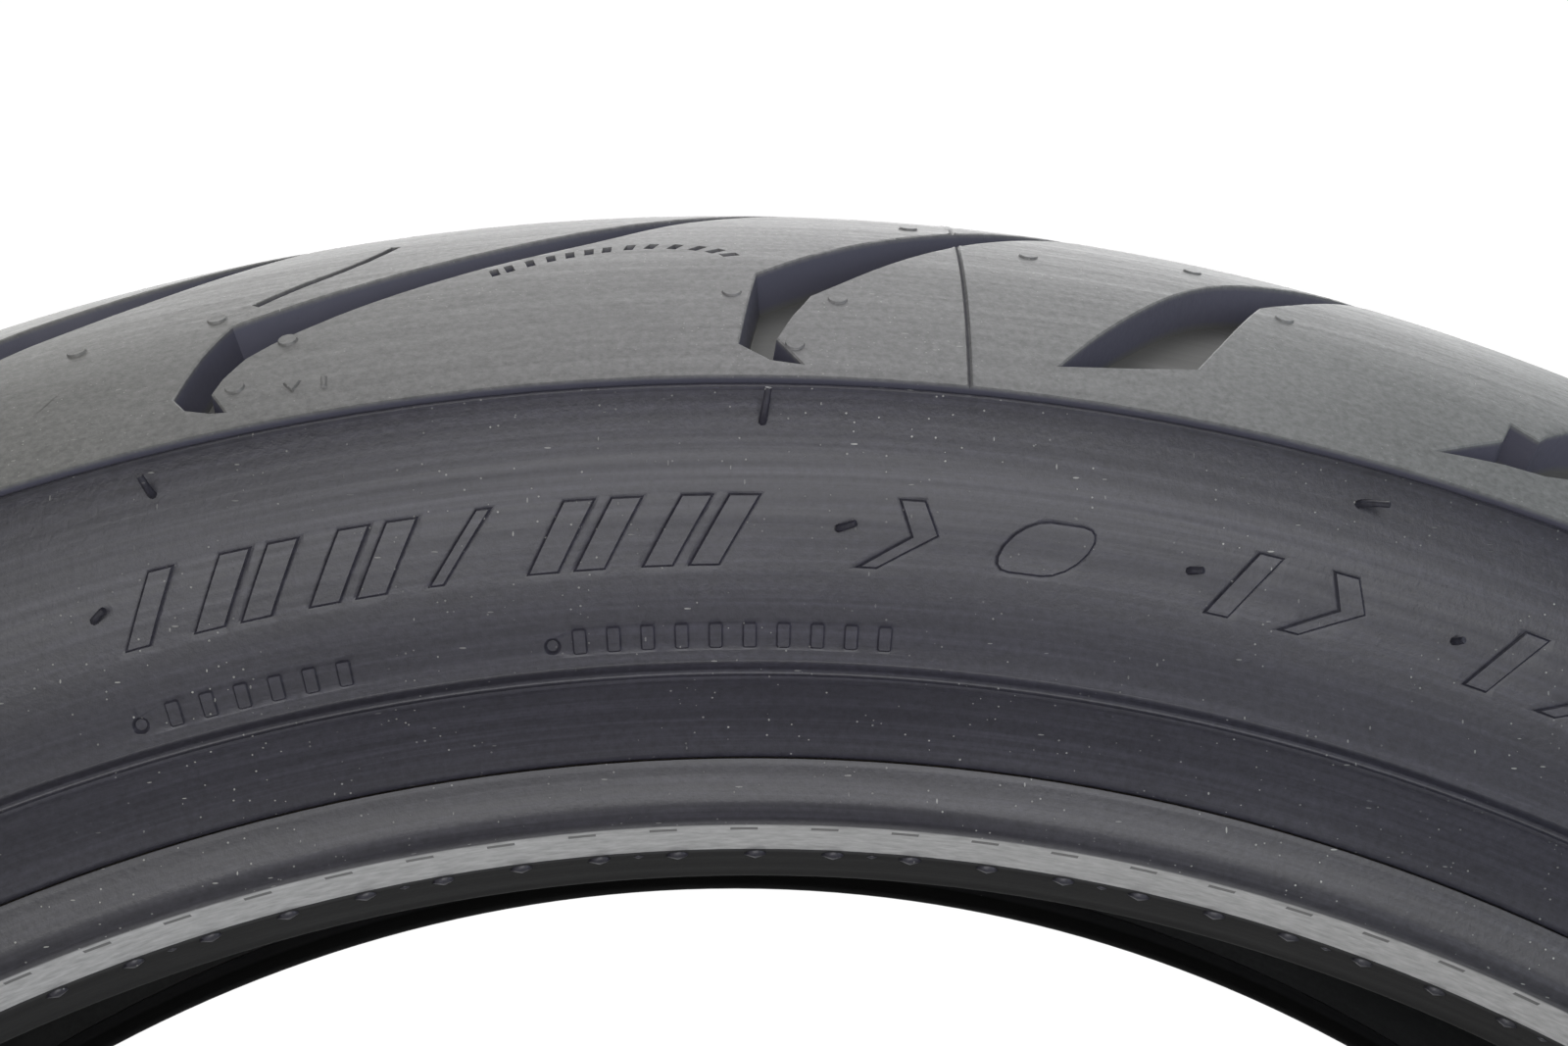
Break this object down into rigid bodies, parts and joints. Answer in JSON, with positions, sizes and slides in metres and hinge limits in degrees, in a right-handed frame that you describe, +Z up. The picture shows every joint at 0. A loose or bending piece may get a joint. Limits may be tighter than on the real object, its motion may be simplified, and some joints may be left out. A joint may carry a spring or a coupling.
{
  "type": "motorcycle tire",
  "caption": "Tubeless radial motorcycle tyre, off its wheel: grooved tread over a belt, plies, liner, sidewalls and wire beads that seat on a 17 inch rim.",
  "frame": {"origin": "centre of the tyre: on the spin axis, in the middle plane of the tread", "axes": "+Y along the spin axis towards the left side, +Z up, +X forward"},
  "size_m": [0.6238, 0.161, 0.6238],
  "materials": {
    "tread_rubber": "matt grey, dusty, with a faint sheen",
    "sidewall_rubber": "dark blue-grey moulded rubber, satin",
    "bead_rubber": "satin, smeared along the bead",
    "base_rubber": "matt black",
    "ply_cord": "parallel cords in rubber",
    "belt_steel": "fine stranded steel cord",
    "bead_wire": "bronze-coated steel wire",
    "liner_rubber": "smooth black butyl, slight gloss"
  },
  "bodies": {
    "root": {"tread_cap_centre": "tread_rubber", "tread_cap_shoulder_left": "tread_rubber", "tread_cap_shoulder_right": "tread_rubber", "tread_base": "base_rubber", "belt_spiral": "belt_steel", "carcass_ply_outer": "ply_cord", "carcass_ply_inner": "ply_cord", "inner_liner": "liner_rubber", "belt_edge_cushion_left": "base_rubber", "belt_edge_cushion_right": "base_rubber", "sidewall_left": "sidewall_rubber", "sidewall_right": "sidewall_rubber", "rim_strip_left": "bead_rubber", "rim_strip_right": "bead_rubber", "chafer_left": "bead_rubber", "chafer_right": "bead_rubber", "bead_core_left": "bead_wire", "bead_core_right": "bead_wire", "bead_filler_left": "base_rubber", "bead_filler_right": "base_rubber", "bead_toe_left": "bead_rubber", "bead_toe_right": "bead_rubber"}
  },
  "joints": []
}
